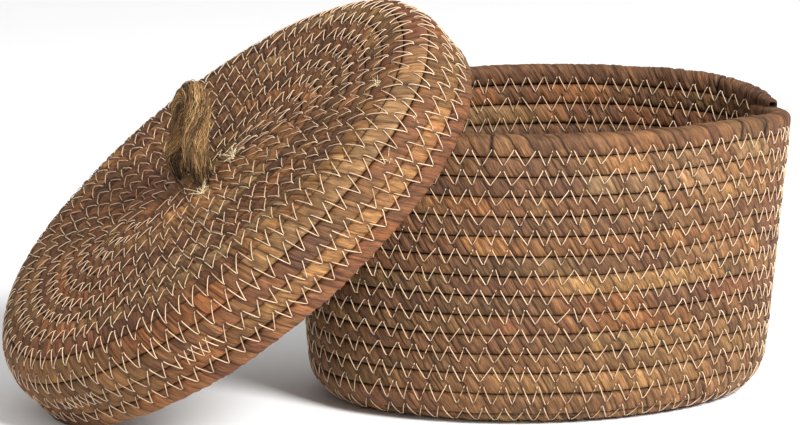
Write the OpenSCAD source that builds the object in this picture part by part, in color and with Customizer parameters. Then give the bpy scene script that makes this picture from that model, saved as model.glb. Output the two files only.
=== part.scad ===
// Oval lidded basket made of one long wrapped cord, coiled and sewn turn to turn, with a loose
// over-cap lid that leans on the basket's end and a loop of thick rope as the lid's handle.
//
// Frame: millimetres, +Z up, +X along the basket's long axis, away from the leaning lid.
// The origin is the middle of the basket's underside, where it stands on the floor.
//
// Every turn of cord has the same plan: two round ends and two bowed sides, drawn parallel to
// the turn before it. A turn is therefore fixed by two numbers: its reach, which is the radius
// of its round ends, and its height. Turns follow each other along a profile, one pitch apart.

/* [Cord] */

// Diameter of the wrapped cord
cord_d = 10.4; // [8:0.1:14]
// Distance from the middle of one turn to the middle of the next
cord_pitch = 10.5; // [8.1:0.1:14.5]

/* [Plan shape] */

// Distance from the basket's middle to the centre of each round end
end_centre = 48; // [30:3:81]

/* [Basket] */

// Reach of the innermost turn of the flat base
base_start_reach = 17.75; // [11:0.25:25]
// Turns in the flat base, around the start pad
base_turns = 4; // [2:1:6]
// Climb of the foot, corner and heel turns, in degrees from level
bend_climb = [5, 45, 80];
// Turns in the wall, the rim included
wall_turns = 12; // [6:1:16]
// Lean of the wall away from upright, in degrees
wall_flare = 4.94; // [0:0.01:12]

/* [Lid] */

// Gap between the closed lid's skirt and the basket's rim, all round
lid_play = 1.0; // [0.5:0.1:3]
// Climb from turn to turn, from the lid's rim up to its flat top, in degrees from level
lid_climb = [90, 90, 64, 24, 4, 0, 0, 0, 0, 0];
// Roll of the leaning lid towards the front, in degrees
lid_roll = 25; // [0:1:40]
// Rise of the leaning lid towards the basket, in degrees
lid_rise = 37; // [20:1:60]
// Turn of the leaning lid towards the front, in degrees
lid_turn = 21.5; // [-40:0.5:40]
// Where the middle of the lid's open side rests
lid_at = [-154.0, -26.1, 93.4];

/* [Handle] */

// Diameter of the rope
rope_d = 13; // [8:0.5:18]
// Distance between the middles of the loop's two legs
leg_spacing = 24; // [16:1:40]
// Straight length of each leg above its bending point
leg_length = 26; // [10:1:50]
// Diameter of each knot under the lid
knot_d = 16; // [14:0.5:22]
// Middle of the handle on the lid, along and across it
handle_at = [-2, 3];
// Turn of the handle on the lid, in degrees from straight across
handle_turn = 35; // [-90:1:90]
// Tilt of the loop from the lid's normal, in degrees
handle_tilt = 52; // [-80:1:80]
// Gap under the bent leg, so that the loop can lie down without rubbing
handle_gap = 0.35; // [0.3:0.05:1]

/* [Hidden] */

$fn = 96;

cord_r = cord_d / 2;
turn_gap = cord_pitch - cord_d;
// A round end passes smoothly into a bowed side on a line through the end's centre that runs
// 3 along for 4 across. The side's own centre lies on that line too, beyond the middle, so both
// centres and both radii follow from the 3-4-5 triangle.
run = 3;
rise = 4;
slant = 5;
side_centre = end_centre * rise / run;
side_extra = end_centre * slant / run;
zone_size = 60;
zone_low = -20;
zone_height = 240;

base_climb = [for (i = [1 : base_turns - 1]) 0];
wall_climb = [for (i = [1 : wall_turns]) 90 - wall_flare];
basket_climb = concat(base_climb, bend_climb, wall_climb);
basket_start = [base_start_reach, cord_r];
rim_turn = len(basket_climb);
first_wall_turn = base_turns + len(bend_climb);
pad_reach = base_start_reach - cord_r - turn_gap;

// A turn's place on the profile is [reach, height]; it follows from the climbs before it.
function place(start, climbs, inward, i) =
    i == 0 ? start
           : place(start, climbs, inward, i - 1)
             + cord_pitch * [inward * cos(climbs[i - 1]), sin(climbs[i - 1])];

function basket_place(i) = place(basket_start, basket_climb, 1, i);
function lid_place(i) = place(lid_start, lid_climb, -1, i);

skirt_reach = basket_place(rim_turn)[0] + cord_d + lid_play;
lid_start = [skirt_reach, cord_r];
lid_last = len(lid_climb);
lid_pad_reach = lid_place(lid_last)[0] - cord_r - turn_gap;
lid_pad_height = lid_place(lid_last)[1] - cord_r;
lid_top = lid_pad_height + cord_d;

rope_r = rope_d / 2;
hinge_height = lid_top + rope_r + handle_gap;
knot_height = lid_pad_height - knot_d / 2;

straw = [0.62, 0.47, 0.31];
bark = [0.50, 0.35, 0.23];
russet = [0.56, 0.36, 0.23];
jute = [0.72, 0.57, 0.36];

// Shared shapes

// The part of the plan that belongs to the round end on the +X side.
module end_zone() {
    translate([end_centre, 0, zone_low])
        linear_extrude(height = zone_height)
            polygon([
                [0, 0],
                [run * zone_size, -rise * zone_size],
                [2 * run * zone_size, -rise * zone_size],
                [2 * run * zone_size, rise * zone_size],
                [run * zone_size, rise * zone_size],
            ]);
}

// The part of the plan that belongs to the bowed side on the +Y side.
module side_zone() {
    translate([0, 0, zone_low])
        linear_extrude(height = zone_height)
            polygon([
                [end_centre, 0],
                [end_centre + run * zone_size, rise * zone_size],
                [-end_centre - run * zone_size, rise * zone_size],
                [-end_centre, 0],
            ]);
}

// One closed turn of cord. Its place is [reach, height].
module turn(spot) {
    for (half = [0, 180])
        rotate([0, 0, half]) {
            intersection() {
                end_zone();
                translate([end_centre, 0, 0])
                    rotate_extrude()
                        translate(spot)
                            circle(d = cord_d);
            }
            intersection() {
                side_zone();
                translate([0, -side_centre, 0])
                    rotate_extrude()
                        translate([spot[0] + side_extra, spot[1]])
                            circle(d = cord_d);
            }
        }
}

// The flat start of a coil: the first short turns, sewn tight into one pad.
module start_pad(reach, bottom) {
    for (half = [0, 180])
        rotate([0, 0, half]) {
            intersection() {
                end_zone();
                translate([end_centre, 0, bottom])
                    cylinder(r = reach, h = cord_d);
            }
            intersection() {
                side_zone();
                translate([0, -side_centre, bottom])
                    cylinder(r = reach + side_extra, h = cord_d);
            }
        }
}

module basket_turn(i) {
    turn(basket_place(i));
}

module wall_turn(number) {
    basket_turn(first_wall_turn + number - 1);
}

// Puts a shape drawn in the lid's own frame where the lid leans.
module on_lid() {
    translate(lid_at)
        rotate([lid_roll, -lid_rise, -lid_turn])
            children();
}

module lid_coil(i) {
    on_lid()
        turn(lid_place(i));
}

// Puts a shape where the handle stands, with +Y from the front leg to the rear one.
module at_handle(height) {
    on_lid()
        translate([handle_at[0], handle_at[1], height])
            rotate([0, 0, handle_turn])
                children();
}

// The end of the rope: a leg up through the lid, flush with its top, and the knot that holds it.
module knot(side) {
    at_handle(0)
        translate([0, side * leg_spacing / 2, 0]) {
            translate([0, 0, knot_height])
                sphere(d = knot_d);
            translate([0, 0, knot_height])
                cylinder(r = rope_r - 0.1, h = lid_top - knot_height);
        }
}

// Basket, from the middle of its base outwards and up

module basket_start_pad() {
    color(bark)
        start_pad(pad_reach, 0);
}

module base_coil_1() {
    color(straw)
        basket_turn(0);
}

module base_coil_2() {
    color(bark)
        basket_turn(1);
}

module base_coil_3() {
    color(straw)
        basket_turn(2);
}

module base_coil_4() {
    color(bark)
        basket_turn(3);
}

module foot_coil() {
    color(russet)
        basket_turn(base_turns);
}

module corner_coil() {
    color(straw)
        basket_turn(base_turns + 1);
}

module heel_coil() {
    color(bark)
        basket_turn(base_turns + 2);
}

module wall_coil_01() {
    color(straw)
        wall_turn(1);
}

module wall_coil_02() {
    color(russet)
        wall_turn(2);
}

module wall_coil_03() {
    color(straw)
        wall_turn(3);
}

module wall_coil_04() {
    color(bark)
        wall_turn(4);
}

module wall_coil_05() {
    color(straw)
        wall_turn(5);
}

module wall_coil_06() {
    color(russet)
        wall_turn(6);
}

module wall_coil_07() {
    color(straw)
        wall_turn(7);
}

module wall_coil_08() {
    color(bark)
        wall_turn(8);
}

module wall_coil_09() {
    color(straw)
        wall_turn(9);
}

module wall_coil_10() {
    color(russet)
        wall_turn(10);
}

module wall_coil_11() {
    color(straw)
        wall_turn(11);
}

module basket_rim_coil() {
    color(bark)
        basket_turn(rim_turn);
}

// Lid, from its rim up and in to the middle of its top

module lid_rim_coil() {
    color(russet)
        lid_coil(0);
}

module lid_skirt_coil_1() {
    color(bark)
        lid_coil(1);
}

module lid_skirt_coil_2() {
    color(straw)
        lid_coil(2);
}

module lid_corner_coil() {
    color(russet)
        lid_coil(3);
}

module lid_top_coil_1() {
    color(straw)
        lid_coil(4);
}

module lid_top_coil_2() {
    color(bark)
        lid_coil(5);
}

module lid_top_coil_3() {
    color(straw)
        lid_coil(6);
}

module lid_top_coil_4() {
    color(russet)
        lid_coil(7);
}

module lid_top_coil_5() {
    color(straw)
        lid_coil(8);
}

module lid_top_coil_6() {
    color(bark)
        lid_coil(9);
}

module lid_top_coil_7() {
    color(straw)
        lid_coil(10);
}

// The pad has two holes, one for each end of the handle's rope.
module lid_start_pad() {
    color(bark)
        difference() {
            on_lid()
                start_pad(lid_pad_reach, lid_pad_height);
            at_handle(lid_pad_height - 1)
                for (side = [-1, 1])
                    translate([0, side * leg_spacing / 2, 0])
                        cylinder(r = rope_r, h = cord_d + 2);
        }
}

// Handle

module handle_knot_front() {
    color(jute)
        knot(-1);
}

module handle_knot_rear() {
    color(jute)
        knot(1);
}

// The loop above the lid. Its legs end in round tips about the line on which the rope bends.
module handle_loop() {
    color(jute)
        at_handle(hinge_height)
            rotate([0, handle_tilt, 0]) {
                for (side = [-1, 1])
                    translate([0, side * leg_spacing / 2, 0]) {
                        sphere(r = rope_r);
                        cylinder(r = rope_r, h = leg_length);
                    }
                translate([0, 0, leg_length])
                    rotate([90, 0, 90])
                        rotate_extrude(angle = 180)
                            translate([leg_spacing / 2, 0])
                                circle(r = rope_r);
            }
}

basket_start_pad();
base_coil_1();
base_coil_2();
base_coil_3();
base_coil_4();
foot_coil();
corner_coil();
heel_coil();
wall_coil_01();
wall_coil_02();
wall_coil_03();
wall_coil_04();
wall_coil_05();
wall_coil_06();
wall_coil_07();
wall_coil_08();
wall_coil_09();
wall_coil_10();
wall_coil_11();
basket_rim_coil();
lid_rim_coil();
lid_skirt_coil_1();
lid_skirt_coil_2();
lid_corner_coil();
lid_top_coil_1();
lid_top_coil_2();
lid_top_coil_3();
lid_top_coil_4();
lid_top_coil_5();
lid_top_coil_6();
lid_top_coil_7();
lid_start_pad();
handle_knot_front();
handle_knot_rear();
handle_loop();
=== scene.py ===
"""Looks of the oval coiled basket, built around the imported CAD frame.

The basket and the lid are each one long cord, wrapped with strips of dried grass, coiled and
sewn turn to turn. Every turn of cord is built here as a real surface with its strips, fibres and
the dents that the stitches pull, and every stitch is a real thread. The handle is a hairy rope.
Lengths in this file are in millimetres, and make_mesh turns them into metres. Only the lights,
the camera and the floor are placed in metres.
"""

import math

import bpy
import numpy as np
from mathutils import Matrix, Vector


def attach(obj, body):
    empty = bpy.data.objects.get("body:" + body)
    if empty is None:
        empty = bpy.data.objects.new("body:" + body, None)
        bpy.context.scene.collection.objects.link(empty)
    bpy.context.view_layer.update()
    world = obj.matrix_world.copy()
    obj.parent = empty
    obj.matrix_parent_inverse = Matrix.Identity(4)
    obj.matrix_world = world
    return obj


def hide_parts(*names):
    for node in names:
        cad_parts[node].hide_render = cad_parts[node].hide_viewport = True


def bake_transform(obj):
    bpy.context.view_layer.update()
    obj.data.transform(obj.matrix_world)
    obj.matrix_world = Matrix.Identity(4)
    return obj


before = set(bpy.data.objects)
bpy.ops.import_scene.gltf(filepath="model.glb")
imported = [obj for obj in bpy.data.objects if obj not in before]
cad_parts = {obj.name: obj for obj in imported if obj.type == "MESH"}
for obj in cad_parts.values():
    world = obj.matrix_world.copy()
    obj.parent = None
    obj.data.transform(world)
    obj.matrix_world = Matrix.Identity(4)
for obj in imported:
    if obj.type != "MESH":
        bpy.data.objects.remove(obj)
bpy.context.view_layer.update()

MM = 0.001  # in metres

# Sizes that the CAD source also uses
CORD_D = 10.4
PITCH = 10.5
END_CENTRE = 48.0
SIDE_CENTRE = END_CENTRE * 4 / 3
SIDE_EXTRA = END_CENTRE * 5 / 3
JOINT_ANGLE = math.atan2(4, 3)
BASE_START_REACH = 17.75
BASE_TURNS = 4
WALL_CLIMB = 90 - 4.94
BASKET_CLIMB = [0] * (BASE_TURNS - 1) + [5, 45, 80] + [WALL_CLIMB] * 12
LID_CLIMB = [90, 90, 64, 24, 4, 0, 0, 0, 0, 0]
LID_PLAY = 1.0
LID_AT = np.array([-154.0, -26.1, 93.4])
LID_ROLL, LID_RISE, LID_TURN = 25, 37, 21.5
ROPE_R = 6.5
LEG_SPACING = 24
LEG_LENGTH = 26
KNOT_D = 16
HANDLE_AT = np.array([-2.0, 3.0])
HANDLE_TURN = 35
HANDLE_TILT = 52
HANDLE_GAP = 0.35

# The cord's surface
REFERENCE_REACH = 75.0  # the turn whose outline sets how far round the plan a part of a turn is
TURN_STEPS = 1200  # samples of the centre line in each turn
ROW_STEP = 0.5  # between rows of points along the cord
SECTION_STEPS = 30
SECTION_POWER = 3.25  # 2 would be an oval section, and more is flatter
HALF_OUT = 5.25  # half of the pressed cord, outwards and towards the next turn
HALF_ALONG = 5.42
SEAM_CLOSE = 1.15  # how fully a bend in the profile is closed at the outside
SWAY_OUT = 0.5  # how far hand pressure has moved the turns off their true oval, and up or down
SWAY_UP = 0.8
FLOOR_CLEARANCE = 0.05
END_TAPER = 0.09  # turns over which a cord's end is tucked in
END_ROUND = 26.0
END_SHARE = 0.66  # thickness left at the very end
# Rings that close a cut end: how far they stick out, their size and their painted shade, darkest in the
# hollow
END_RINGS = [(0.9, 0.93, 0.9), (1.4, 0.8, 0.75), (1.0, 0.6, 0.45), (-1.6, 0.42, 0.14), (-1.6, 0.02, 0.1)]

# The strips that wrap the cord
WRAP_LEAN = 3.0  # how far a strip's edge moves along the cord per radian round it
LEAN_FADE = 40.0  # from an end to where the strips have their full lean
STRIP_WIDTHS = (2.2, 22)
STRIP_TILT = (0.1, 0.55)
STRIP_LIFT = 0.13
TIGHT_LENGTH = 30.0  # narrow windings that bind the end
TIGHT_STEP = 2.3
TONE_LENGTH = 42.0
# Depth or strength of soft noise, and its size along and round the cord in mesh steps
FOLD_LAYERS = [(0.2, 4.5, 9), (0.09, 1.8, 7), (0.05, 1, 5)]
STREAK_LAYERS = [(0.07, 5, 9), (0.06, 2, 6), (0.045, 1, 5)]
EDGE_WIDTH = 0.5
EDGE_DEPTH = 0.3
EDGE_SHADE_WIDTH = 0.45
EDGE_SHADE = 0.36
SPLIT_WIDTH = 0.75
SPLIT_DEPTH = 0.9
SPLIT_SHADE = 0.85
# How dark the seams are painted: painted shade with some dirt
CREASE_SHADE_AND_DIRT = 0.6
# From the cord's middle line: where the surface starts to keep close to its plain shape, and
#  where the painted shade and dirt of a seam start, each with the width over which it comes in
HUG_START, HUG_WIDTH = 3.4, 1.4
CREASE_START, CREASE_WIDTH = 4.6, 0.9
DENT_SHADE = 0.3
# Dark gaps are warmer and light fibres paler than the strip itself, by these powers of the shade
WARMTH = (1.0, 1.14, 1.32)

# The sewing
STITCH_PITCH = 9.7
STITCH_REACH = 1.2  # from a seam's hole towards the seam, measured from the cord's middle line
STITCH_RANGE = (7, 14)
PIT_DEPTH = 0.65  # at a hole
DIP_DEPTH = 0.3  # from a hole to the seam
DIP_WIDTH = 1.8
THREAD_R = 0.26
# The way of one stroke of thread: share of the way and height above the pressed cord
STROKE = [(0, -1.3), (0.06, 0), (0.22, 0.32), (0.5, 0.26), (0.78, 0.32), (0.94, 0), (1, -1.3)]

# The rope
ROPE_LAY = 95.0  # length in which a strand goes once round
LEG_PINCH = 5.0
STRANDS_R = 5.7  # the strands alone; loose fibres fill the rest of the rope's thickness
FOOT_SHARE = 0.76  # the rope is squeezed where it goes into the lid
FIBRE_SIDES = 4


# Small helpers


def smooth(x):
    """0 below 0, 1 above 1, and a smooth rise between."""
    x = np.clip(x, 0, 1)
    return x * x * (3 - 2 * x)


def unit(v):
    """Vectors along the last axis, scaled to length 1."""
    return v / (np.linalg.norm(v, axis=-1, keepdims=True) + 1e-9)


def turn_matrix(axis, degrees):
    """A 3x3 rotation about one axis."""
    a = math.radians(degrees)
    c, s = math.cos(a), math.sin(a)
    matrices = {
        "x": [[1, 0, 0], [0, c, -s], [0, s, c]],
        "y": [[c, 0, s], [0, 1, 0], [-s, 0, c]],
        "z": [[c, -s, 0], [s, c, 0], [0, 0, 1]],
    }
    return np.array(matrices[axis])


LID_MATRIX = turn_matrix("z", -LID_TURN) @ turn_matrix("y", -LID_RISE) @ turn_matrix("x", LID_ROLL)


def pressed(points, clearance=FLOOR_CLEARANCE):
    """Points in the row frame, pressed flat where they would sink into the floor."""
    points = np.array(points, float)
    points[..., 2] = np.maximum(points[..., 2], clearance)
    return points


def on_lid(points):
    """From the lid's own frame to the row frame."""
    return pressed(points @ LID_MATRIX.T + LID_AT)


def on_basket(points):
    """The basket's own frame is the row frame."""
    return pressed(points)


def to_linear(colour):
    """From the colour as it looks on a screen to the linear values that Blender uses."""
    colour = np.asarray(colour, float)
    return np.where(colour <= 0.04045, colour / 12.92, ((colour + 0.055) / 1.055) ** 2.4)


def soft_noise(rng, rows, columns, row_step, column_step):
    """Smooth random values on a grid, with features about row_step rows by column_step columns."""
    coarse = rng.standard_normal((int(rows / row_step) + 3, int(columns / column_step) + 3))
    r = np.arange(rows) / row_step
    c = np.arange(columns) / column_step
    i, j = r.astype(int), c.astype(int)
    part_r, part_c = smooth(r - i)[:, None], smooth(c - j)[None, :]
    low = coarse[np.ix_(i, j)] * (1 - part_c) + coarse[np.ix_(i, j + 1)] * part_c
    high = coarse[np.ix_(i + 1, j)] * (1 - part_c) + coarse[np.ix_(i + 1, j + 1)] * part_c
    return low * (1 - part_r) + high * part_r


def between(at, known, table):
    """Rows of a table of points or colours at places between the known ones."""
    return np.stack([np.interp(at, known, table[:, k]) for k in range(3)], -1)


def add_object(name, data):
    """A new object in the scene."""
    added = bpy.data.objects.new(name, data)
    bpy.context.scene.collection.objects.link(added)
    return added


def make_mesh(name, verts, faces, body, material, uv=None, colour=None):
    """A mesh piece from numpy arrays in millimetres."""
    mesh = bpy.data.meshes.new(name)
    count, corners = faces.shape
    mesh.vertices.add(len(verts))
    mesh.vertices.foreach_set("co", (verts * MM).astype(np.float32).ravel())
    mesh.loops.add(count * corners)
    mesh.loops.foreach_set("vertex_index", faces.astype(np.int32).ravel())
    mesh.polygons.add(count)
    mesh.polygons.foreach_set("loop_start", np.arange(0, count * corners, corners, dtype=np.int32))
    if uv is not None:
        layer = mesh.uv_layers.new(name="wrap")
        layer.data.foreach_set("uv", uv[faces.ravel()].astype(np.float32).ravel())
    if colour is not None:
        attribute = mesh.attributes.new("wrap_colour", "FLOAT_COLOR", "POINT")
        rgba = np.ones((len(verts), 4), np.float32)
        rgba[:, :3] = colour
        attribute.data.foreach_set("color", rgba.ravel())
    mesh.update(calc_edges=True)
    mesh.validate()
    mesh.shade_smooth()
    mesh.materials.append(material)
    piece = add_object(name, mesh)
    if body is not None:
        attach(piece, body)
    return piece


def grid_faces(rows, columns):
    """Quads of an open grid of points, row by row."""
    i, j = np.meshgrid(np.arange(rows - 1), np.arange(columns - 1), indexing="ij")
    a = (i * columns + j).ravel()
    return np.column_stack([a, a + 1, a + columns + 1, a + columns])


def tubes(paths, radius, sides=5):
    """Round tubes along many paths of equal length: paths has the shape (tube, point, 3)."""
    count, steps, _ = paths.shape
    along = unit(np.gradient(paths, axis=1))
    helper = np.where(np.abs(along[:, :, 2:3]) < 0.9, [[[0, 0, 1.0]]], [[[1.0, 0, 0]]])
    u = unit(np.cross(along, helper))
    v = np.cross(along, u)
    turn = np.linspace(0, 2 * math.pi, sides, endpoint=False)
    radius = np.broadcast_to(np.asarray(radius, float), (count, steps))
    ring = u[:, :, None] * np.cos(turn)[:, None] + v[:, :, None] * np.sin(turn)[:, None]
    verts = (paths[:, :, None] + ring * radius[:, :, None, None]).reshape(-1, 3)
    t, i, j = np.meshgrid(np.arange(count), np.arange(steps - 1), np.arange(sides), indexing="ij")
    start = (t * steps + i) * sides
    following = (j + 1) % sides
    quads = np.stack([start + j, start + following, start + sides + following, start + sides + j], -1)
    return verts, quads.reshape(-1, 4)


# The plan that every turn shares


def outline_table():
    """How far round the plan each corner between arcs lies, and the outward angle there."""
    end = JOINT_ANGLE * REFERENCE_REACH
    side = (math.pi - 2 * JOINT_ANGLE) * (REFERENCE_REACH + SIDE_EXTRA)
    lengths = np.cumsum([0, end, side, 2 * end, side, end])
    half = math.pi
    angles = [0, JOINT_ANGLE, half - JOINT_ANGLE, half + JOINT_ANGLE, 2 * half - JOINT_ANGLE, 2 * half]
    return lengths / lengths[-1], -np.array(angles)


OUTLINE_AT, OUTLINE_ANGLE = outline_table()


def outline(t, reach):
    """Plan point and outward direction at t turns, clockwise from the +X end."""
    angle = np.interp(t - np.floor(t), OUTLINE_AT, OUTLINE_ANGLE)
    out = np.stack([np.cos(angle), np.sin(angle)], -1)
    side = np.abs(out[:, 1]) > math.sin(JOINT_ANGLE)
    centre = np.where(
        side[:, None],
        np.stack([0 * angle, -np.sign(out[:, 1]) * SIDE_CENTRE], -1),
        np.stack([np.sign(out[:, 0]) * END_CENTRE, 0 * angle], -1),
    )
    return centre + (reach + side * SIDE_EXTRA)[:, None] * out, out


def places(start, climbs, way):
    """[reach, height] of each turn, from the climb between neighbours and the way they grow."""
    spots = [np.array(start, float)]
    for climb in climbs:
        c = math.radians(climb)
        spots.append(spots[-1] + PITCH * np.array([way * math.cos(c), math.sin(c)]))
    return np.array(spots)


BASKET_PLACES = places([BASE_START_REACH, CORD_D / 2], BASKET_CLIMB, 1)
LID_PLACES = places([BASKET_PLACES[-1][0] + CORD_D + LID_PLAY, CORD_D / 2], LID_CLIMB, -1)
RIM_TURN = len(BASKET_CLIMB)
LID_LAST = len(LID_CLIMB)
CORE_TURNS = 3


class Coil:
    """One long cord. Its level is a turn's number, whole on most of the way round; over a short
    stretch it rises to the next turn. Levels outside the numbered turns are the small pad turns
    in the middle of the base or of the lid, which shrink to a straight core. way is 1 where the
    turns grow outwards and -1 where they grow inwards; cut is where round the plan a turn begins."""

    def __init__(
        self, body, place_it, spots, climbs, way, start, end, cut, rise_span, start_lift, end_drop, seed
    ):
        self.body = body
        self.place_it = place_it
        self.spots = spots
        self.way = way
        self.cut = cut
        self.rise_span = rise_span
        self.start_lift = start_lift
        self.end_drop = end_drop
        self.seed = seed
        before = np.array([climbs[0], *climbs], float)
        after = np.array([*climbs, climbs[-1]], float)
        self.lean = np.radians((before + after) / 2)
        self.rng = np.random.default_rng(seed)
        self.last = math.ceil(end) - 1
        self.first_turn = start + cut
        self.last_turn = end + cut
        self.turns = np.arange(self.first_turn, self.last_turn + 0.0001, 1 / TURN_STEPS)
        self.trace()
        self.sew()

    def lean_at(self, level):
        """Lean of the profile at a level."""
        return np.interp(level, np.arange(len(self.lean)), self.lean)

    def level(self, turns):
        """The level at a distance along the cord, counted in turns."""
        whole = np.floor(turns - self.cut)
        part = turns - self.cut - whole
        rise = smooth((part - 1 + self.rise_span) / self.rise_span)
        lift = self.start_lift * smooth((self.first_turn - turns) / END_TAPER + 1)
        drop = self.end_drop * smooth((turns - self.last_turn) / END_TAPER + 1)
        return whole + lift + np.where(whole >= self.last, -drop, rise)

    def point(self, turns):
        """Centre line point, outward direction and lean of the profile."""
        level = self.level(turns)
        count = len(self.spots)
        numbered = np.clip(level, 0, count - 1)
        reach, height = (np.interp(numbered, np.arange(count), self.spots[:, k]) for k in (0, 1))
        lean = self.lean_at(numbered)
        beyond = np.clip(level - (count - 1), 0, None) if self.way > 0 else 0 * level
        reach = reach + beyond * PITCH * np.cos(lean)
        height = height + beyond * PITCH * np.sin(lean)
        inner = np.clip(-level if self.way > 0 else level - (count - 1), 0, CORE_TURNS)
        flat, out = outline(turns, reach)
        smallest = self.spots[0 if self.way > 0 else -1, 0]
        long_half = smallest + END_CENTRE
        flat = flat * np.stack([(long_half - PITCH * inner) / long_half, 1 - inner / CORE_TURNS], -1)
        wave = 0.35 * np.sin(4 * math.pi * turns + 0.35 * level + self.seed)
        wave += 0.25 * np.sin(10 * math.pi * turns + 0.8 * level)
        sway = SWAY_OUT * wave * np.clip(1 - inner, 0, 1)
        point = np.column_stack([flat + out * sway[:, None], height])
        point[:, 2] += SWAY_UP * wave * np.sin(lean) * (height > CORD_D)
        return point, np.column_stack([out, 0 * level]), lean

    def trace(self):
        """Dense samples along the cord: distance, centre and the section's two axes."""
        centre, out, lean = self.point(self.turns)
        up = np.array([0, 0, 1.0])
        along = self.way * np.cos(lean)[:, None] * out + np.sin(lean)[:, None] * up
        forward = unit(np.gradient(centre, axis=0))
        self.outside = unit(np.cross(along, forward))
        self.along = np.cross(forward, self.outside)
        self.centre = centre
        step = np.linalg.norm(np.diff(centre, axis=0), axis=1)
        self.distance = np.concatenate([[0], np.cumsum(step)])
        self.length = self.distance[-1]

    def at_turns(self, turns):
        """Distance along the cord at a number of turns."""
        return np.interp(turns, self.turns, self.distance)

    def sample(self, distance):
        """Centre, along-profile axis and outward axis at distances along the cord."""
        tables = (self.centre, self.along, self.outside)
        return [between(distance, self.distance, table) for table in tables]

    def sew(self):
        """Where the needle went: along each seam, a lower hole and then an upper one, in turn."""
        end = self.at_turns(self.turns[-1] - 1)
        steps = STITCH_PITCH * (1 + 0.08 * self.rng.standard_normal(int(end / STITCH_PITCH * 1.2)))
        low = np.cumsum(np.clip(steps, *STITCH_RANGE)) + 2
        low = low[low < end - 8]
        half = STITCH_PITCH * (0.5 + 0.05 * self.rng.standard_normal(len(low)))
        high_turns = np.interp(low + half, self.distance, self.turns) + 1
        high = self.at_turns(high_turns)
        keep = high < self.length - 3
        self.low_hole = low[keep]
        self.high_hole = high[keep]


def section_radius(angle):
    """Half width of the pressed cord's section; angle 0 is outside, 90 degrees to the next turn."""
    c = np.abs(np.cos(angle)) / HALF_OUT
    s = np.abs(np.sin(angle)) / HALF_ALONG
    return (c**SECTION_POWER + s**SECTION_POWER) ** (-1 / SECTION_POWER)


def nearest(sorted_values, wanted):
    """Signed distance from each wanted value to the nearest of the sorted ones."""
    k = np.clip(np.searchsorted(sorted_values, wanted), 1, len(sorted_values) - 1)
    below, above = sorted_values[k - 1], sorted_values[k]
    return np.where(wanted - below < above - wanted, wanted - below, wanted - above)


# Colours of the dried grass, as they look in white light

TONES = {
    "brown": [0.53, 0.385, 0.275],
    "russet": [0.565, 0.395, 0.295],
    "tan": [0.65, 0.515, 0.37],
    "orange": [0.65, 0.455, 0.29],
    "mauve": [0.455, 0.34, 0.27],
    "olive": [0.55, 0.455, 0.315],
    "straw": [0.73, 0.60, 0.43],
    "pale": [0.74, 0.665, 0.55],
}
TONE_VALUES = np.array(list(TONES.values()))


class Wrap:
    """The strips of grass around one cord: where each begins, its lift, tilt and colour. patches
    lists stretches of one tone as [first turn, last turn, tone, share]; splits lists the turns where
    the wrapping has opened in a dark line."""

    def __init__(self, coil, seed, chances, gain, patches, splits):
        rng = np.random.default_rng(seed)
        length = coil.length
        self.splits = [coil.at_turns(turn) for turn in splits]
        self.chances = chances
        widths = np.clip(rng.gamma(3.4, 2.6, int(length / 5)), *STRIP_WIDTHS)
        loose = np.concatenate([[-40], -40 + np.cumsum(widths)])
        tight = np.arange(length - TIGHT_LENGTH, length + 40, TIGHT_STEP)
        self.edge = np.concatenate([loose[loose < tight[0] - 2], tight])
        count = len(self.edge)
        stops = np.cumsum(rng.gamma(4, TONE_LENGTH / 4, int(length / TONE_LENGTH) + 20)) - 60
        stop_tone = self.choose(rng, len(stops))
        slow = between(self.edge, stops, stop_tone)
        own = self.choose(rng, count)
        mix = (0.08 + 0.5 * rng.random(count) ** 3)[:, None]
        self.colour = slow * (1 - mix) + own * mix
        for first, last, tone, share in patches:
            begin, end = coil.at_turns(first), coil.at_turns(last)
            inside = smooth((self.edge - begin) / 15 + 0.5) * smooth((end - self.edge) / 15 + 0.5)
            part = (share * inside * rng.uniform(0.6, 1, count))[:, None]
            self.colour = self.colour * (1 - part) + np.array(TONES[tone]) * part
        self.colour = self.colour * gain
        self.colour = self.colour * (1 + 0.06 * rng.standard_normal(count))[:, None]
        self.lift = STRIP_LIFT * rng.standard_normal(count)
        self.tilt = rng.uniform(*STRIP_TILT, count)
        rows, columns = int(length / ROW_STEP) + 8, SECTION_STEPS + 1
        self.folds, self.streak = (
            sum(depth * soft_noise(rng, rows, columns, *size) for depth, *size in layers)
            for layers in (FOLD_LAYERS, STREAK_LAYERS)
        )

    def choose(self, rng, count):
        """Tones drawn by their chances."""
        return TONE_VALUES[rng.choice(len(TONE_VALUES), count, p=self.chances)]

    def look(self, distance):
        """Strip number, how far across it each row lies, and the distance to its nearer edge."""
        k = np.clip(np.searchsorted(self.edge, distance) - 1, 0, len(self.edge) - 2)
        part = (distance - self.edge[k]) / (self.edge[k + 1] - self.edge[k])
        return k, part, np.minimum(distance - self.edge[k], self.edge[k + 1] - distance)


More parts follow.
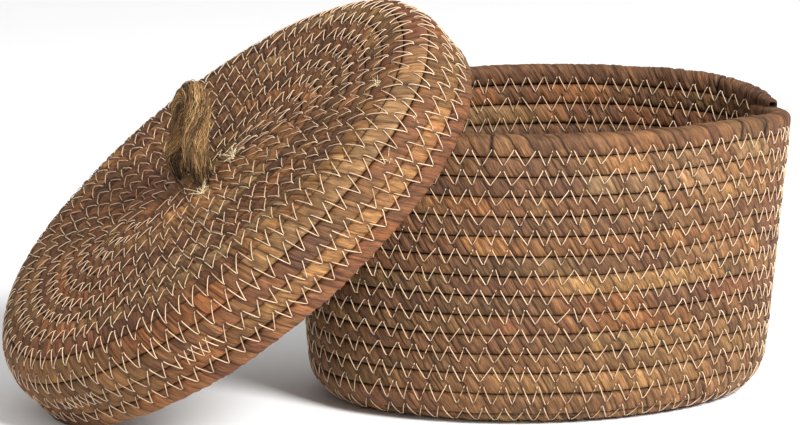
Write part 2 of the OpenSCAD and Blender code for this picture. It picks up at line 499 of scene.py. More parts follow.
class Cord:
    """The wrapped surface of one coil. Its rows lean like the wrapping, so that strip edges and
    fibres are real ridges. The row ends meet on the side that a neighbouring turn hides."""

    def __init__(self, coil, wrap, material, free_side):
        self.coil = coil
        self.wrap = wrap
        self.material = material
        self.count = int(coil.length / ROW_STEP) + 1
        self.along = np.linspace(0, coil.length, self.count)
        seam = -math.pi / 2 if free_side > 0 else math.pi / 2
        self.angle = seam + np.linspace(0, 2 * math.pi, SECTION_STEPS + 1)[None, :]
        to_last = coil.length - 2 - self.along
        ends = smooth((self.along - 2) / LEAN_FADE) * smooth(to_last / LEAN_FADE)
        lean = WRAP_LEAN * (self.angle - seam - math.pi / 2) * ends[:, None]
        self.distance = np.clip(self.along[:, None] + lean, 0, coil.length)
        turns = np.interp(self.along, coil.distance, coil.turns)[:, None]
        bare = turns - coil.turns[-1] + 1 if free_side > 0 else coil.turns[0] + 1 - turns
        self.is_free = smooth(bare / 0.01 + 0.5) * (np.sin(self.angle) * free_side > 0.05)
        self.widening = self.fill(coil.level(turns))
        self.strip, self.part, self.edge = wrap.look(self.along)
        self.folds = wrap.folds[: self.count]
        gaps = [((self.distance - at) / SPLIT_WIDTH) ** 2 for at in wrap.splits]
        self.split = sum(np.exp(-gap) for gap in gaps) + 0 * self.distance
        self.radius = section_radius(self.angle)
        self.across = np.abs(self.radius * np.sin(self.angle))
        self.shape()
        self.paint()
        around = 5.2 * self.angle + 0 * self.distance
        self.uv = np.stack([self.along[:, None] + 0 * self.angle, around], -1) * 0.1

    def shape(self):
        """Places of the surface points. Next to a neighbouring turn the surface keeps close to its
        plain shape, so that the seams stay shut."""
        hug = smooth((self.across - HUG_START) / HUG_WIDTH) * (1 - self.is_free)
        self.dent = self.dents() * (1 - 0.9 * hug)
        step = -EDGE_DEPTH * np.exp(-((self.edge / EDGE_WIDTH) ** 2))
        lift = self.wrap.lift[self.strip] + self.wrap.tilt[self.strip] * (self.part - 0.5) + step
        height = (lift[:, None] + self.folds) * (1 - 0.7 * hug) - self.dent
        height = height - SPLIT_DEPTH * self.split * (1 - hug)
        to_end = np.minimum(self.along, self.coil.length - self.along)
        round_end = END_SHARE + (1 - END_SHARE) * smooth(to_end / END_ROUND)
        radius = (self.radius + height) * round_end[:, None]
        out_part = radius * np.cos(self.angle)
        next_part = radius * np.sin(self.angle) * (1 + self.widening * np.clip(out_part, 0, None))
        self.centre, to_next, outward = self.coil.sample(self.distance)
        self.points = self.centre + (to_next * next_part[..., None] + outward * out_part[..., None])

    def paint(self):
        """Colours of the surface points: dark in seams, splits, dents and at strip edges."""
        shade = 1 + self.wrap.streak[: self.count]
        edge_dark = EDGE_SHADE * np.exp(-((self.edge / EDGE_SHADE_WIDTH) ** 2))
        shade = shade * (1 - edge_dark)[:, None]
        # Painted shade from each strip's tilt: darker towards the strip's far edge
        shade = shade * (1.05 - 0.12 * self.part)[:, None]
        # Painted shade, with some dirt, in the seams between turns
        crease = smooth((self.across - CREASE_START + self.folds) / CREASE_WIDTH) * (1 - self.is_free)
        crease = crease * (1 - 1.6 * self.widening * HALF_ALONG)
        shade = shade * (1 - CREASE_SHADE_AND_DIRT * crease)
        shade = shade * (1 - DENT_SHADE * np.clip(self.dent, 0, 1))
        shade = shade * (1 - SPLIT_SHADE * np.clip(self.split, 0, 1))
        tone = self.wrap.colour[self.strip][:, None, :] * shade[..., None] ** WARMTH
        self.colour = to_linear(np.clip(tone, 0.01, 1))

    def fill(self, level):
        """How much wider the outer half gets per millimetre out, so that it closes a bend in the
        profile. Only the side towards the bent neighbour widens."""
        lean = self.coil.lean_at(level)
        upward = np.abs(self.coil.lean_at(level + 1) - lean)
        downward = np.abs(lean - self.coil.lean_at(level - 1))
        bend = np.where(np.sin(self.angle) > 0, upward, downward)
        return SEAM_CLOSE * np.tan(bend / 2) / HALF_ALONG

    def dents(self):
        """How deep the stitches pull the surface in, outside and inside alike: a small pit at each
        hole, and a wider dip from there to the seam."""
        across = self.radius * np.sin(self.angle)
        dent = np.zeros(self.distance.shape)
        for holes, side in ((self.coil.low_hole, 1), (self.coil.high_hole, -1)):
            past = nearest(holes, self.distance)
            pit = np.exp(-(past**2 + (across - side * STITCH_REACH) ** 2) / 2)
            dip = np.exp(-(past**2) / (2 * DIP_WIDTH**2)) * smooth((side * across + 0.5) / 4)
            dent += PIT_DEPTH * pit + DIP_DEPTH * dip
        return dent

    def end_cap(self, row, sign):
        """Extra rings that close a cut end: a rounded lip and a shallow hollow, with painted shade that
        is darkest in the hollow.
        """
        rings, colours = [], []
        forward = unit(self.centre[row] - self.centre[row - sign])
        for push, scale, shade in END_RINGS:
            offset = (self.points[row] - self.centre[row]) * scale
            rings.append(self.centre[row] + offset + forward * push)
            colours.append(self.colour[row] * shade)
        return np.array(rings), np.array(colours), np.repeat(self.uv[row : row + 1], len(rings), 0)

    def piece(self, name, begin, end):
        """One stretch of the cord, between two distances, as a piece of the model."""
        last_row = self.count - 1
        first, last = (int(round(d / self.coil.length * last_row)) for d in (begin, end))
        tables = [table[first : last + 1] for table in (self.points, self.colour, self.uv)]
        if last == last_row:
            tables = [np.concatenate(pair) for pair in zip(tables, self.end_cap(last, 1))]
        if first == 0:
            caps = [cap[::-1] for cap in self.end_cap(0, -1)]
            tables = [np.concatenate(pair) for pair in zip(caps, tables)]
        points, colour, uv = tables
        verts = self.coil.place_it(points.reshape(-1, 3))
        faces = grid_faces(*points.shape[:2])
        uv, colour = uv.reshape(-1, 2), colour.reshape(-1, 3)
        return make_mesh(name, verts, faces, self.coil.body, self.material, uv, colour)


# Threads


def thread_piece(name, coil, begin, end, radius, sink, move=0.0):
    """The zigzag stitches of the seams whose lower holes lie in one stretch of the cord. Every
    second stroke lies deeper in the grass by sink. move slides the whole run along the seam."""
    index = np.nonzero((coil.low_hole >= begin) & (coil.low_hole < end))[0]
    index = index[index < len(coil.low_hole) - 1]
    rng = np.random.default_rng(coil.seed + int(begin))
    strokes = []
    for side in (1, -1):
        for start, up in ((coil.low_hole[index], 1), (coil.low_hole[index + 1], -1)):
            shift = 0.25 * rng.standard_normal((4, len(index)))
            low, low_along, low_out = coil.sample(start + move + 0.15 * up + shift[0])
            high, high_along, high_out = coil.sample(coil.high_hole[index] + move - 0.6 * up + shift[1])
            low = low + low_along * (STITCH_REACH + 0.6 * shift[2])[:, None]
            high = high - high_along * (STITCH_REACH + 0.6 * shift[3])[:, None]
            bend = np.clip(np.sum(low_out * high_out, 1), -1, 1)
            arch = CORD_D * 1.1 * (1 - np.sqrt((1 + bend) / 2)) * (side > 0)
            middle_out = unit(low_out + high_out)
            path = []
            for part, depth in STROKE:
                depth -= sink * (up < 0)
                outward = unit(low_out * (1 - part) + high_out * part)
                bow = (arch * 4 * part * (1 - part))[:, None] * middle_out
                path.append(low * (1 - part) + high * part + side * outward * (HALF_OUT + depth) + bow)
            strokes.append(np.stack(path, 1))
    paths = np.concatenate(strokes)
    paths = pressed(coil.place_it(paths.reshape(-1, 3)), 2 * THREAD_R).reshape(paths.shape)
    verts, faces = tubes(paths, radius)
    piece = make_mesh(name, verts, faces, coil.body, THREAD)


# Rope


def handle_point(points, tilted):
    """From the handle's own frame to the row frame; tilted points turn about the hinge."""
    hinge = np.array([0, 0, LID_PLACES[-1][1] + CORD_D / 2 + ROPE_R + HANDLE_GAP])
    points = np.asarray(points, float)
    if tilted:
        points = points @ turn_matrix("y", HANDLE_TILT).T + hinge
    flat = points @ turn_matrix("z", HANDLE_TURN).T + np.array([HANDLE_AT[0], HANDLE_AT[1], 0])
    return on_lid(flat)


def even_path(corners, step, rounding):
    """Points at even steps along a line through corners, with its bends rounded."""
    corners = np.asarray(corners, float)
    walked = np.concatenate([[0], np.cumsum(np.linalg.norm(np.diff(corners, axis=0), axis=1))])
    count = int(walked[-1] / step)
    at = np.linspace(0, walked[-1], count + 1)
    path = between(at, walked, corners)
    span = int(rounding / step)
    padded = np.concatenate([np.repeat(path[:1], span, 0), path, np.repeat(path[-1:], span, 0)])
    kernel = np.hanning(2 * span + 1)
    kernel /= kernel.sum()
    return np.stack([np.convolve(padded[:, k], kernel, "valid") for k in range(3)], -1)


def path_axes(path):
    """Two axes square to the path at each point, carried along it without twisting."""
    forward = unit(np.gradient(path, axis=0))
    start = unit(np.cross(forward[0], [0.3, 0.2, 0.9]))
    first = [start]
    for direction in forward[1:]:
        first.append(unit(first[-1] - direction * np.dot(first[-1], direction)))
    first = np.array(first)
    return first, np.cross(forward, first)


JUTE = np.array(
    [
        [0.58, 0.44, 0.29],
        [0.68, 0.52, 0.33],
        [0.45, 0.33, 0.21],
        [0.86, 0.71, 0.50],
        [0.26, 0.18, 0.11],
    ]
)
JUTE_CHANCES = [0.24, 0.27, 0.13, 0.22, 0.14]


class Rope:
    """A loosely twisted three-strand rope along a path, with loose fibres all over it."""

    def __init__(self, path, radius, seed):
        self.path = path
        self.radius = np.broadcast_to(radius, len(path))
        self.u, self.v = path_axes(path)
        self.rng = np.random.default_rng(seed)
        step = np.linalg.norm(np.diff(path, axis=0), axis=1)
        self.distance = np.concatenate([[0], np.cumsum(step)])

    def lobes(self, phase):
        """Share of the radius that the three strands leave at each angle."""
        return 0.84 + 0.16 * np.abs(np.cos(1.5 * phase)) ** 0.7

    def foot_shade_and_dirt(self, distance):
        """Painted shade and some dirt: the rope is darker where it goes into the lid."""
        to_end = np.minimum(distance, self.distance[-1] - distance)
        return 0.45 + 0.55 * smooth((to_end - 4) / 8)

    def skin(self, columns=60):
        """Surface points and colours."""
        a = np.linspace(0, 2 * math.pi, columns, endpoint=True)[None, :]
        phase = a - (2 * math.pi * self.distance / ROPE_LAY)[:, None]
        shift = phase / (2 * math.pi) * (columns - 1)
        rows = len(self.path)
        fine = soft_noise(self.rng, rows, columns - 1, 14, 1)
        broad = soft_noise(self.rng, rows, columns - 1, 18, 4)
        pick = np.mod(np.round(shift).astype(int), columns - 1)
        row = np.arange(rows)[:, None] + 0 * pick
        grain, swell = fine[row, pick], broad[row, pick]
        radius = self.radius[:, None] * self.lobes(phase) + 0.22 * grain + 0.25 * swell
        ring = self.u[:, None] * np.cos(a)[..., None] + self.v[:, None] * np.sin(a)[..., None]
        points = self.path[:, None] + ring * radius[..., None]
        tone = JUTE[2] * (1 + 0.16 * grain + 0.12 * swell)[..., None]
        # Painted shade in the grooves between the strands
        tone = tone * (0.3 + 0.7 * np.abs(np.cos(1.5 * phase)) ** 0.5)[..., None]
        tone = tone * self.foot_shade_and_dirt(self.distance)[:, None, None]
        return points, np.clip(tone, 0.03, 1)

    def fibres(self, count, length, thick, lift, stray, points=11, near=None):
        """Loose fibres that follow the twist. Returns tube paths, radii and colours."""
        rng = self.rng
        total = self.distance[-1]
        first, last = (-0.1 * total, total) if near is None else near
        start = rng.uniform(first, last, count)[:, None]
        run = rng.uniform(0.4, 1, count)[:, None] * length
        part = np.linspace(0, 1, points)[None, :]
        at = np.clip(start + run * part, 0, total)
        phase0 = rng.uniform(0, 2 * math.pi, count)[:, None]
        drift = rng.normal(0, 0.45, count)[:, None] * (part - 0.5)
        wiggle = 0.09 * np.cumsum(rng.standard_normal((count, points)), 1)
        a = phase0 + 2 * math.pi * at / ROPE_LAY + drift + wiggle
        radius = np.interp(at, self.distance, self.radius) * self.lobes(phase0 + drift + wiggle)
        radius = radius + (
            lift * rng.random(count)[:, None]
            + stray * rng.random(count)[:, None] ** 2 * (2 * part - 1) ** 4
        )
        centre, u, v = (between(at, self.distance, table) for table in (self.path, self.u, self.v))
        paths = centre + u * (np.cos(a) * radius)[..., None] + v * (np.sin(a) * radius)[..., None]
        thin_ends = 0.35 + 0.65 * np.sin(math.pi * part) ** 0.5
        thickness = thick * rng.uniform(0.6, 1.3, count)[:, None] * thin_ends
        tones = JUTE[rng.choice(len(JUTE), count, p=JUTE_CHANCES)]
        tones = tones * (1 + 0.08 * rng.standard_normal(count))[:, None]
        # Painted light and shade: fibres on the strands' crests are lighter, those in the grooves darker
        crest_light_and_shade = 0.5 + 0.64 * np.abs(np.cos(1.5 * phase0)) ** 0.7
        tones = tones * crest_light_and_shade * self.foot_shade_and_dirt(at.mean(1))[:, None]
        return paths, thickness, np.clip(tones, 0.03, 1)


def fibre_parts(groups, lined):
    """Each group of thin tubes as (verts, faces, colours, UVs); groups holds (paths, radii,
    colours). Lined fibres get the material's fine lines, and others are one shade each."""
    parts = []
    for paths, radii, tones in groups:
        verts, faces = tubes(paths, radii, FIBRE_SIDES)
        steps = paths.shape[1]
        colours = np.repeat(to_linear(tones), steps * FIBRE_SIDES, 0)
        far = lined * np.linspace(0, 1, steps)
        each = np.repeat(np.stack([far * 3, far * 0.1], -1), FIBRE_SIDES, 0)
        parts.append((verts, faces, colours, np.tile(each, (len(paths), 1))))
    return parts


def join_parts(name, parts, body, material):
    """One mesh piece from several (verts, faces, colours, UVs)."""
    verts, faces, colours, uvs = zip(*parts)
    starts = np.cumsum([0] + [len(v) for v in verts[:-1]])
    faces = np.concatenate([f + start for f, start in zip(faces, starts)])
    uvs, colours = np.concatenate(uvs), np.concatenate(colours)
    return make_mesh(name, np.concatenate(verts), faces, body, material, uvs, colours)


def rope_mesh(name, rope, body, material, groups):
    """The rope's skin and its loose fibres in one mesh, closed at both ends."""
    points, tone = rope.skin()
    rows, columns, _ = points.shape
    caps = [rope.path[0] + 0 * points[0], rope.path[-1] + 0 * points[0]]
    points = np.concatenate([caps[:1], points, caps[1:]])
    # Painted shade: the caps that close the rope's ends are darker
    tone = np.concatenate([tone[:1] * 0.4, tone, tone[-1:] * 0.4])
    far = np.concatenate([[0], rope.distance, rope.distance[-1:]])
    around = np.linspace(0, 4, columns)
    uv = np.stack(np.meshgrid(far * 0.1, around, indexing="ij"), -1).reshape(-1, 2)
    faces = grid_faces(rows + 2, columns)
    skin = (points.reshape(-1, 3), faces, to_linear(tone).reshape(-1, 3), uv)
    return join_parts(name, [skin, *fibre_parts(groups, False)], body, material)


# Materials


def new_material(name):
    """An empty material with its nodes, links and shader."""
    material = bpy.data.materials.new(name)
    material.use_nodes = True
    nodes, links = material.node_tree.nodes, material.node_tree.links
    shader = nodes["Principled BSDF"]
    return material, nodes, links, shader


def noise_node(nodes, links, source, scale, detail, roughness, distortion=0.0):
    """Noise over a coordinate output, stretched by a scale per axis."""
    place = nodes.new("ShaderNodeMapping")
    place.inputs["Scale"].default_value = scale
    noise = nodes.new("ShaderNodeTexNoise")
    noise.inputs["Scale"].default_value = 1.0
    noise.inputs["Detail"].default_value = detail
    noise.inputs["Roughness"].default_value = roughness
    noise.inputs["Distortion"].default_value = distortion
    links.new(source, place.inputs["Vector"])
    links.new(place.outputs["Vector"], noise.inputs["Vector"])
    return noise.outputs["Fac"]


def range_node(nodes, links, source, from_low, from_high, low, high):
    """A value moved from one range to another."""
    node = nodes.new("ShaderNodeMapRange")
    node.inputs["From Min"].default_value = from_low
    node.inputs["From Max"].default_value = from_high
    node.inputs["To Min"].default_value = low
    node.inputs["To Max"].default_value = high
    links.new(source, node.inputs["Value"])
    return node.outputs["Result"]


def math_node(nodes, links, operation, first, second):
    """Two values joined by one operation."""
    node = nodes.new("ShaderNodeMath")
    node.operation = operation
    links.new(first, node.inputs[0])
    links.new(second, node.inputs[1])
    return node.outputs["Value"]


def fibre_material(name, roughness, coarse_scale, fine_scale, contrast, bump_depth):
    """Dry plant fibre: the piece's own strip colours, lines along each strip and a dull sheen."""
    material, nodes, links, shader = new_material(name)
    uv = nodes.new("ShaderNodeUVMap")
    uv.uv_map = "wrap"
    colour = nodes.new("ShaderNodeAttribute")
    colour.attribute_name = "wrap_colour"
    coarse = noise_node(nodes, links, uv.outputs["UV"], coarse_scale, 3, 0.6, 0.7)
    fine = noise_node(nodes, links, uv.outputs["UV"], fine_scale, 2, 0.6, 0.4)
    stain = noise_node(nodes, links, uv.outputs["UV"], (1.3, 0.9, 1), 4, 0.55)
    coarse_gain = range_node(nodes, links, coarse, 0.34, 0.66, 1 - contrast, 1 + 0.8 * contrast)
    fine_gain = range_node(nodes, links, fine, 0.34, 0.66, 1 - 0.7 * contrast, 1 + 0.6 * contrast)
    stain_gain = range_node(nodes, links, stain, 0.3, 0.7, 0.88, 1.1)
    gain = math_node(nodes, links, "MULTIPLY", coarse_gain, fine_gain)
    gain = math_node(nodes, links, "MULTIPLY", gain, stain_gain)
    channels = nodes.new("ShaderNodeCombineXYZ")
    for axis, power in enumerate(WARMTH):
        raised = nodes.new("ShaderNodeMath")
        raised.operation = "POWER"
        raised.inputs[1].default_value = power
        links.new(gain, raised.inputs[0])
        links.new(raised.outputs["Value"], channels.inputs[axis])
    tint = nodes.new("ShaderNodeVectorMath")
    tint.operation = "MULTIPLY"
    links.new(colour.outputs["Color"], tint.inputs[0])
    links.new(channels.outputs["Vector"], tint.inputs[1])
    links.new(tint.outputs["Vector"], shader.inputs["Base Color"])
    relief = math_node(nodes, links, "ADD", coarse, fine)
    bump = nodes.new("ShaderNodeBump")
    bump.inputs["Strength"].default_value = 0.9
    bump.inputs["Distance"].default_value = bump_depth
    links.new(relief, bump.inputs["Height"])
    links.new(bump.outputs["Normal"], shader.inputs["Normal"])
    dull = range_node(nodes, links, coarse, 0.3, 0.7, roughness - 0.1, roughness + 0.12)
    links.new(dull, shader.inputs["Roughness"])
    shader.inputs["Specular IOR Level"].default_value = 0.3
    return material


def thread_material():
    """Cream sewing thread with a little uneven dye."""
    material, nodes, links, shader = new_material("cream_thread")
    place = nodes.new("ShaderNodeTexCoord")
    noise = noise_node(nodes, links, place.outputs["Object"], (140, 140, 140), 3, 0.5)
    ramp = nodes.new("ShaderNodeValToRGB")
    stops = [(0.3, [0.69, 0.565, 0.44]), (0.7, [0.89, 0.785, 0.655])]
    for element, (position, colour) in zip(ramp.color_ramp.elements, stops):
        element.position = position
        element.color = (*to_linear(colour), 1)
    links.new(noise, ramp.inputs["Fac"])
    links.new(ramp.outputs["Color"], shader.inputs["Base Color"])
    shader.inputs["Roughness"].default_value = 0.55
    return material


BASKET_GRASS = fibre_material("basket_grass", 0.66, (5.2, 1.2, 1), (12.5, 2.2, 1), 0.31, 0.0007)
LID_GRASS = fibre_material("lid_grass", 0.68, (5.2, 1.2, 1), (12.5, 2.2, 1), 0.31, 0.0007)
JUTE_FIBRE = fibre_material("jute_fibre", 0.8, (1.2, 9, 1), (2, 22, 1), 0.25, 0.0004)
THREAD = thread_material()

# The two coils

# How often each tone comes up, in the order of TONES
BASKET_CHANCES = [0.36, 0.22, 0.16, 0.04, 0.1, 0.08, 0.02, 0.02]
LID_CHANCES = [0.32, 0.1, 0.2, 0.04, 0.09, 0.19, 0.03, 0.03]
BASKET_GAIN = np.array([0.79, 0.725, 0.61])
LID_GAIN = np.array([0.81, 0.70, 0.56])
# Stretches of one tone: first turn, last turn, tone, share
BASKET_PATCHES = [
    [5.05, 5.34, "tan", 0.55],
    [6.05, 6.32, "tan", 0.6],
    [7.05, 7.28, "tan", 0.6],
    [8.05, 8.24, "straw", 0.35],
    [16.13, 16.23, "pale", 0.5],
    [17.13, 17.22, "pale", 0.4],
    [7.30, 7.52, "olive", 0.55],
    [8.28, 8.50, "brown", 0.6],
    [9.30, 9.50, "olive", 0.5],
    [10.27, 10.50, "mauve", 0.5],
    [11.14, 11.25, "straw", 0.8],
    [12.12, 12.33, "mauve", 0.5],
    [13.10, 13.30, "orange", 0.65],
    [14.08, 14.32, "mauve", 0.55],
    [17.90, 18.45, "brown", 0.7],
    [18.088, 18.114, "tan", 0.6],
    [18.12, 18.17, "russet", 0.6],
    [18.22, 18.24, "mauve", 0.6],
    [18.27, 18.31, "tan", 0.45],
    [18.60, 19.00, "mauve", 0.5],
]
# Turns at which the wrapping of the rim has opened
RIM_SPLITS = [18.088, 18.114, 18.31, 18.47, 18.925]
LID_PATCHES = [
    [4.96, 5.06, "olive", 0.6],
    [6.00, 6.12, "tan", 0.6],
    [7.02, 7.12, "olive", 0.6],
    [9.00, 9.10, "russet", 0.6],
    [2.98, 3.10, "pale", 0.5],
    [0.00, 0.10, "russet", 0.8],
    [0.10, 0.125, "orange", 0.9],
    [3.00, 3.20, "pale", 0.7],
    [3.22, 3.26, "orange", 0.8],
    [4.02, 4.10, "tan", 0.7],
    [4.20, 4.32, "mauve", 0.6],
    [5.36, 5.43, "orange", 0.9],
]

basket = Coil(
    "basket", on_basket, BASKET_PLACES, BASKET_CLIMB, 1, start=0.5 - CORE_TURNS, end=RIM_TURN + 0.868,
    cut=0.12, rise_span=0.15, start_lift=0, end_drop=0.42, seed=3,
)
lid = Coil(
    "lid", on_lid, LID_PLACES, LID_CLIMB, -1, start=0, end=LID_LAST + CORE_TURNS + 0.64,
    cut=-0.15, rise_span=0.2, start_lift=0.42, end_drop=0, seed=11,
)
basket_wrap = Wrap(basket, 21, BASKET_CHANCES, BASKET_GAIN, BASKET_PATCHES, RIM_SPLITS)
lid_wrap = Wrap(lid, 22, LID_CHANCES, LID_GAIN, LID_PATCHES, [])
basket_cord = Cord(basket, basket_wrap, BASKET_GRASS, 1)
lid_cord = Cord(lid, lid_wrap, LID_GRASS, -1)


def ring_piece(cord, name, first, last, node):
    """The turns from first to last of one cord, standing in for one CAD node."""
    begin, end = (cord.coil.at_turns(turn + cord.coil.cut) for turn in (first, last))
    piece = cord.piece(name, begin, end)
    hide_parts(node)


def ring_pieces(cord, nodes):
    """One piece for each numbered turn, standing in for its CAD node."""
    for number, node in enumerate(nodes):
        ring_piece(cord, node.replace("coil", "cord"), number, number + 1, node)


BASKET_NODES = [f"base_coil_{i}" for i in range(1, BASE_TURNS + 1)]
BASKET_NODES += ["foot_coil", "corner_coil", "heel_coil"]
BASKET_NODES += [f"wall_coil_{i:02d}" for i in range(1, 12)] + ["basket_rim_coil"]
LID_NODES = ["lid_rim_coil", "lid_skirt_coil_1", "lid_skirt_coil_2", "lid_corner_coil"]
LID_NODES += [f"lid_top_coil_{i}" for i in range(1, 8)]

ring_pieces(basket_cord, BASKET_NODES)
ring_pieces(lid_cord, LID_NODES)
ring_piece(basket_cord, "basket_start_cord", -CORE_TURNS, 0, "basket_start_pad")
ring_piece(lid_cord, "lid_start_cord", LID_LAST + 1, LID_LAST + 4, "lid_start_pad")

# Name, coil, first turn, last turn, radius, how much deeper every second stroke lies
THREAD_RUNS = [
    ("base_thread", basket, -3, 5, THREAD_R, 0),
    ("lower_wall_thread", basket, 5, 9, THREAD_R, 0),
    ("middle_wall_thread", basket, 9, 14, THREAD_R, 0),
    ("upper_wall_thread", basket, 14, 19, THREAD_R, 0),
    ("lid_skirt_thread", lid, 0, 4, THREAD_R, 0),
    ("lid_corner_thread", lid, 4, 7, 0.22, 0.12),
    ("lid_top_thread", lid, 7, 14, 0.2, 0.22),
]
for run_name, coil, first_turn, last_turn, radius, sink in THREAD_RUNS:
    run_begin, run_end = (coil.at_turns(turn + coil.cut) for turn in (first_turn, last_turn))
    thread_piece(run_name, coil, run_begin, run_end, radius, sink)

# Where a new thread begins, a short stretch of the seam is sewn twice
SEWN_TWICE = [(1.245, 1.285), (1.36, 1.4)]
for number, turns in enumerate(SEWN_TWICE, 1):
    run_begin, run_end = (lid.at_turns(turn) for turn in turns)
    run_name = f"lid_join_thread_{number}"
    thread_piece(run_name, lid, run_begin, run_end, THREAD_R, -0.1, move=STITCH_PITCH * 0.4)

# The handle

LID_TOP = LID_PLACES[-1][1] + CORD_D / 2
KNOT_HEIGHT = LID_PLACES[-1][1] - CORD_D / 2 - KNOT_D / 2


def loop_path():
    """The rope from inside the lid's top, up over the loop and back down."""
    leg = LEG_SPACING / 2
    top = leg - LEG_PINCH
    arch_base = LEG_LENGTH + LEG_PINCH
    arch = [math.radians(d) for d in range(0, 181, 10)]
    front = handle_point([[0, -leg, LID_TOP - 3], [0, -leg, LID_TOP + 2]], False)
    loop = [[0, -leg, 5], [0, -top, 14]]
    loop += [[0, -top * math.cos(d), arch_base + top * math.sin(d)] for d in arch]
    loop += [[0, top, 14], [0, leg, 5]]
    rear = handle_point([[0, leg, LID_TOP + 2], [0, leg, LID_TOP - 3]], False)
    return even_path(np.concatenate([front, handle_point(loop, True), rear]), 0.7, 5)


loop_rope = Rope(loop_path(), STRANDS_R, 41)
loop_end = loop_rope.distance[-1]
loop_foot = np.minimum(loop_rope.distance, loop_end - loop_rope.distance)
loop_rope.radius = STRANDS_R * (FOOT_SHARE + (1 - FOOT_SHARE) * smooth((loop_foot - 3) / 10))
# Layers of fibres: how many, length, thickness, height above the strands, stray of their ends
loop_groups = [
    loop_rope.fibres(420, 45, 0.19, 0.35, 0.5),
    loop_rope.fibres(620, 30, 0.13, 1.0, 1.8),
    loop_rope.fibres(720, 16, 0.075, 1.4, 3.8),
    loop_rope.fibres(50, 12, 0.12, 0.8, 4.0, near=(-6, 4)),
    loop_rope.fibres(50, 12, 0.12, 0.8, 4.0, near=(loop_end - 10, loop_end)),
]
loop = rope_mesh("handle_rope", loop_rope, None, JUTE_FIBRE, loop_groups)
blend_start = handle_point([[0, 0, LID_TOP - 1]], False)[0]
blend_end = handle_point([[0, 0, 11]], True)[0]
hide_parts("handle_loop")
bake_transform(loop)


def knot_path(side):
    """A leg down through the lid, then the knot that it is tied into."""
    leg = side * LEG_SPACING / 2
    corners = [[0, leg, LID_TOP - 2], [0, leg, KNOT_HEIGHT + 9]]
    for step in range(0, 22):
        turn = side * step * 2 * math.pi / 11
        swing = 3.6 * min(1, step / 5)
        x, y = swing * math.cos(turn), leg + swing * math.sin(turn)
        corners.append([x, y, KNOT_HEIGHT + 6 - 0.42 * step])
    return even_path(handle_point(corners, False), 0.8, 2.4)


for side, name in ((-1, "front"), (1, "rear")):
    path = knot_path(side)
    fall = np.linspace(0, 1, len(path))
    rope = Rope(path, ROPE_R - 0.3 - 2.2 * smooth(fall * 4 - 0.4), 50 + side)
    groups = [rope.fibres(150, 30, 0.26, 0.3, 0.5), rope.fibres(60, 18, 0.1, 0.6, 3)]
    knot = rope_mesh(f"handle_knot_{name}_rope", rope, "lid", JUTE_FIBRE, groups)
    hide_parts(f"handle_knot_{name}")

# Loose ends: bits of lint on the lid and stray fibres at the basket's right end


def surface_spot(coil, turns, angle):
    """A point on the cord's surface and its outward direction, in the row frame."""
    centre, to_next, outward = coil.sample(np.array([coil.at_turns(turns)]))
    direction = outward * math.cos(angle) + to_next * math.sin(angle)
    inner = coil.place_it(centre + 4.6 * direction)[0]
    outer = coil.place_it(centre + 6.0 * direction)[0]
    return inner, unit(outer - inner)


def lint(coil, turns, size, count, rng):
    """A small bunch of short curled fibres that sticks out of a seam."""
    start, outward = surface_spot(coil, turns, 0.3)
    aim = unit(rng.standard_normal((count, 1, 3)) + 0.9 * outward)
    part = np.linspace(0, 1, 9)[None, :, None]
    curl = rng.standard_normal((count, 1, 3)) * part**2 * size * 0.6
    roots = start + 0.5 * rng.standard_normal((count, 1, 3))
    paths = roots + aim * size * part * rng.uniform(0.5, 1, (count, 1, 1)) + curl
    tones = np.array([0.97, 0.91, 0.75]) * (1 + 0.06 * rng.standard_normal((count, 1)))
    radii = 0.16 * np.ones((count, 9)) * (1 - 0.5 * part[..., 0])
    return paths, radii, np.clip(tones, 0, 1)


def hair(coil, turns, angle, right, up, sag, tone):
    """One stray fibre from the surface towards the side, right and up by so many millimetres."""
    start, _ = surface_spot(coil, turns, angle)
    part = np.linspace(0, 1, 14)[:, None]
    path = start + part * np.array([right, 0, up]) + sag * np.array([0, 0, 1]) * part * (1 - part)
    return path[None], (0.13 * (1 - 0.6 * part))[:, 0][None], np.array([tone])


lint_rng = np.random.default_rng(8)
# Where each tuft is on the lid in turns, its size and its number of fibres
TUFTS = [(12.157, 4.5, 34), (11.243, 5, 30), (4.053, 3.5, 12), (2.1, 3.5, 10), (2.07, 2.5, 6)]
lint_groups = [lint(lid, *tuft, lint_rng) for tuft in TUFTS]
lint_piece = join_parts("lid_lint", fibre_parts(lint_groups, True), "lid", JUTE_FIBRE)
DARK_FIBRE, PALE_FIBRE = [0.4, 0.28, 0.18], [0.72, 0.6, 0.45]
stray_groups = [
    hair(basket, 18.01, 0.9, 5.0, 2.5, 3, PALE_FIBRE),
    hair(basket, 18.00, 0.9, 3.5, 1.0, 2, DARK_FIBRE),
    hair(basket, 17.04, 0.2, 5.2, -9.0, 4, PALE_FIBRE),
    hair(basket, 16.03, 0.0, 1.5, -1.2, 0, DARK_FIBRE),
    hair(basket, 12.02, 0.0, 1.8, 1.2, 1, DARK_FIBRE),
]
stray_parts = fibre_parts(stray_groups, True)
stray_piece = join_parts("basket_stray_fibres", stray_parts, "basket", JUTE_FIBRE)

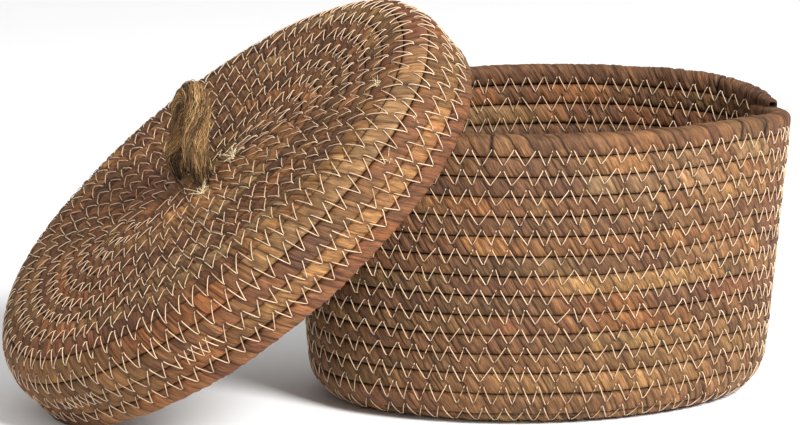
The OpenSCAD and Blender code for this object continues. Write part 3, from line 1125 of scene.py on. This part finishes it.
# Stage, light and camera


def make_floor():
    """A wide pale floor that is not part of the object."""
    mesh = bpy.data.meshes.new("floor")
    half = 9.0
    corners = [(-half, -half, 0), (half, -half, 0), (half, half, 0), (-half, half, 0)]
    mesh.from_pydata(corners, [], [(0, 1, 2, 3)])
    material, nodes, links, shader = new_material("pale_floor")
    shader.inputs["Base Color"].default_value = (0.96, 0.96, 0.96, 1)
    shader.inputs["Roughness"].default_value = 0.9
    mesh.materials.append(material)
    add_object("floor", mesh)


def add_light(name, place, aim, size, watts):
    """A round soft light that looks from one place to another, in metres."""
    data = bpy.data.lights.new(name, "AREA")
    data.shape = "DISK"
    data.size = size
    data.energy = watts
    light = add_object(name, data)
    light.location = place
    light.rotation_mode = "QUATERNION"
    light.rotation_quaternion = (Vector(aim) - Vector(place)).to_track_quat("-Z", "Y")


def make_world():
    """Even white light from all round."""
    world = bpy.data.worlds.new("soft_studio")
    world.use_nodes = True
    background = world.node_tree.nodes["Background"]
    background.inputs["Color"].default_value = (1, 1, 1, 1)
    background.inputs["Strength"].default_value = 0.64
    bpy.context.scene.world = world


def make_camera():
    """A long lens from the front, a little left of the basket's middle and above it."""
    aim = Vector((-0.0740, 0, 0.0961))
    distance, elevation, azimuth = 2.3, math.radians(12.5), math.radians(-8.95)
    level = math.cos(elevation)
    back = Vector((math.sin(azimuth) * level, -math.cos(azimuth) * level, math.sin(elevation)))
    data = bpy.data.cameras.new("camera")
    data.lens = 197.4
    data.sensor_width = 36
    data.clip_start, data.clip_end = 0.1, 50
    camera = add_object("camera", data)
    camera.location = aim + back * distance
    camera.rotation_mode = "QUATERNION"
    camera.rotation_quaternion = (-back).to_track_quat("-Z", "Y")
    bpy.context.scene.camera = camera


make_floor()
make_world()
add_light("key", (1.0, -1.68, 1.6), (-0.05, 0, 0.08), 0.8, 98)
add_light("fill", (-1.6, -1.0, 0.9), (-0.1, 0, 0.08), 1.2, 2)
make_camera()
bpy.context.scene.view_settings.view_transform = "Standard"
